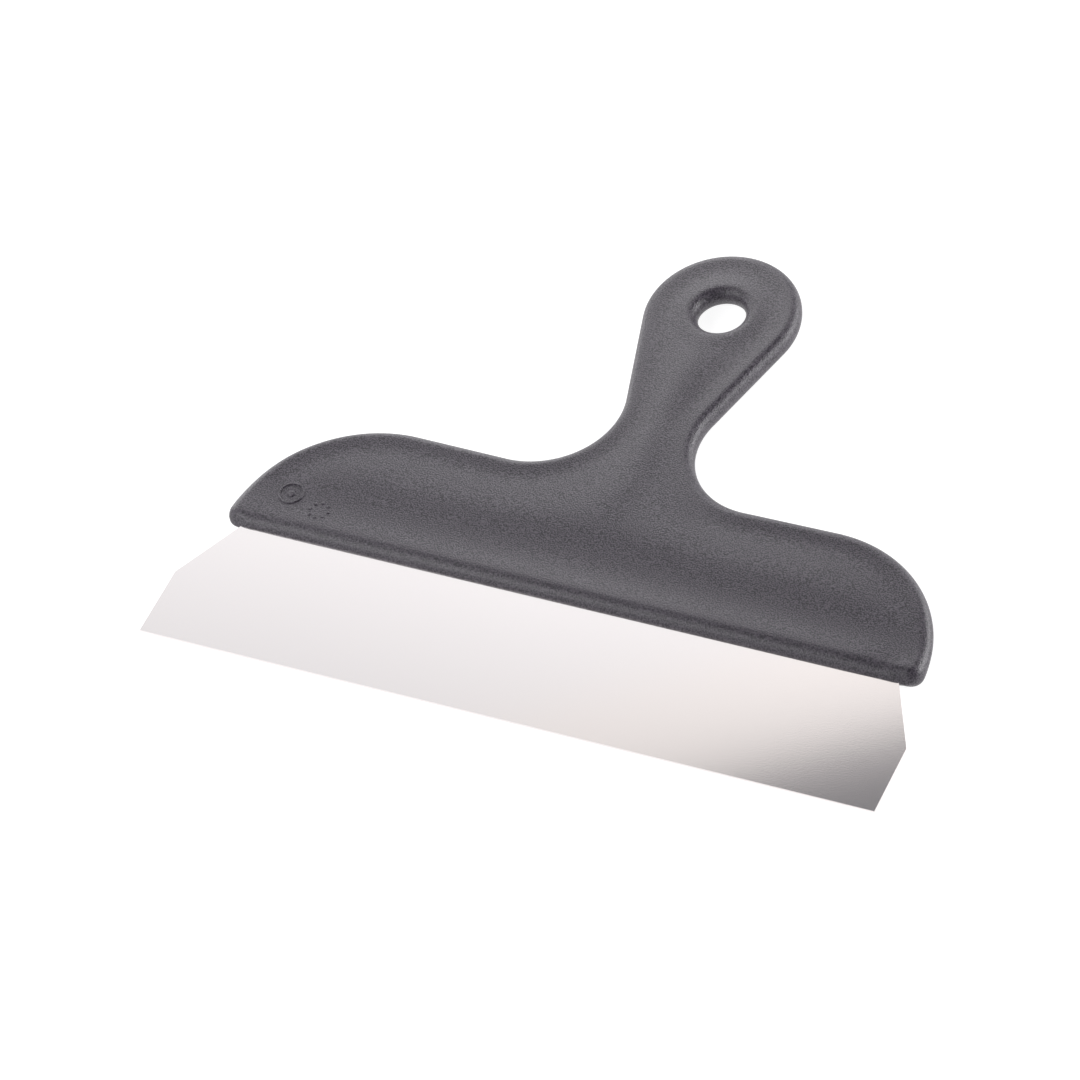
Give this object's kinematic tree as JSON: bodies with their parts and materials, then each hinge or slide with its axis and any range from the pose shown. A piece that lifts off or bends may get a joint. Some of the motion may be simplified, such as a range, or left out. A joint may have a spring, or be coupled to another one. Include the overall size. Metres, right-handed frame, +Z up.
{
  "type": "bench scraper",
  "caption": "Wide flat dough scraper: a thin steel blade with tapered shoulders, moulded into a winged plastic handle with a waisted grip and a hang hole.",
  "frame": {"origin": "middle of the footprint on the worktop, with the scraper lying flat", "axes": "+X along the cutting edge, +Y from the cutting edge to the hang hole, +Z up through the thickness"},
  "size_m": [0.26, 0.2054, 0.0096],
  "materials": {
    "steel": "satin, very fine even grain",
    "plastic": "matte, fine sand-like moulded texture"
  },
  "bodies": {
    "root": {"blade": "steel", "handle": "plastic"}
  },
  "joints": []
}
